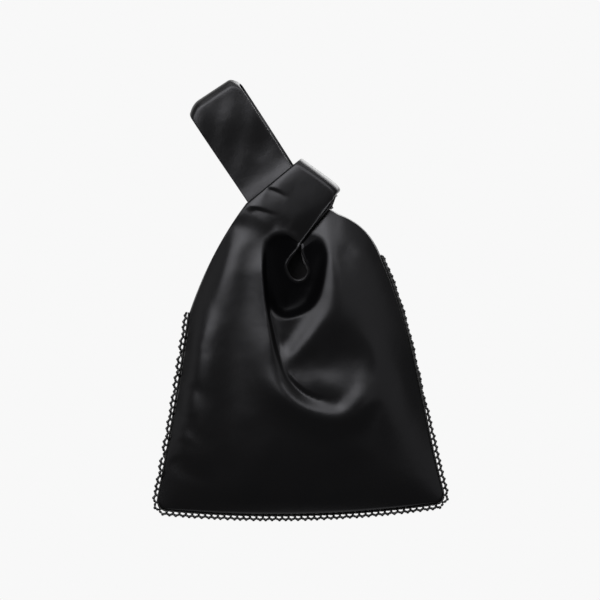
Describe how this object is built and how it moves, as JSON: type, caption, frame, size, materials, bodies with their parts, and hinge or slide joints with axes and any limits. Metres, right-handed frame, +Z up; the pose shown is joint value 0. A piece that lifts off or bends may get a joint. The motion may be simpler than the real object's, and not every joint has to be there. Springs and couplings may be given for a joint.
{
  "type": "japanese knot bag",
  "caption": "Lined satin knot bag: a long wrist loop is drawn through a short loop that grips it, the mouth stays open as a drop under the knot, and a beaded picot edge follows the seams.",
  "frame": {"origin": "inside top of the long loop, at the middle of its width, where a wrist or a hook carries the bag", "axes": "+Z up, +Y to the back of the bag and -Y to its front, +X to the right in the front view"},
  "size_m": [0.2374, 0.0414, 0.3559],
  "materials": {
    "satin": "black satin with a soft sheen",
    "lining": "plain black lining",
    "thread": "black beading thread",
    "beads": "glossy black seed beads"
  },
  "bodies": {
    "carry_loop": {"long_loop_crown": "satin", "long_loop_crown_lining": "lining"},
    "loop_neck": {"long_loop_neck_front": "satin", "long_loop_neck_back": "satin", "long_loop_neck_front_lining": "lining", "long_loop_neck_back_lining": "lining", "long_loop_bend_front": "satin", "long_loop_bend_back": "satin", "long_loop_bend_front_lining": "lining", "long_loop_bend_back_lining": "lining"},
    "bag": {"front_panel": "satin", "back_panel": "satin", "front_lining": "lining", "back_lining": "lining", "long_loop_root_front": "satin", "long_loop_root_back": "satin", "long_loop_root_front_lining": "lining", "long_loop_root_back_lining": "lining", "edging_cord": "thread", "beaded_edge_left": "beads", "beaded_edge_bottom": "beads", "beaded_edge_right": "beads"}
  },
  "joints": [
    {"name": "loop_fold", "type": "hinge", "parent": "carry_loop", "child": "loop_neck", "pos_m": [0.03033, 0, -0.046], "axis": [0.8348, 0, 0.5505], "range_deg": [-90, 90], "deforming": ["long_loop_bend_front", "long_loop_bend_back", "long_loop_bend_front_lining", "long_loop_bend_back_lining"]},
    {"name": "knot_slide", "type": "slide", "parent": "loop_neck", "child": "bag", "axis": [-0.5505, 0, 0.8348], "range_m": [0, 0.012], "deforming": ["long_loop_root_front", "long_loop_root_back", "long_loop_root_front_lining", "long_loop_root_back_lining"]}
  ]
}
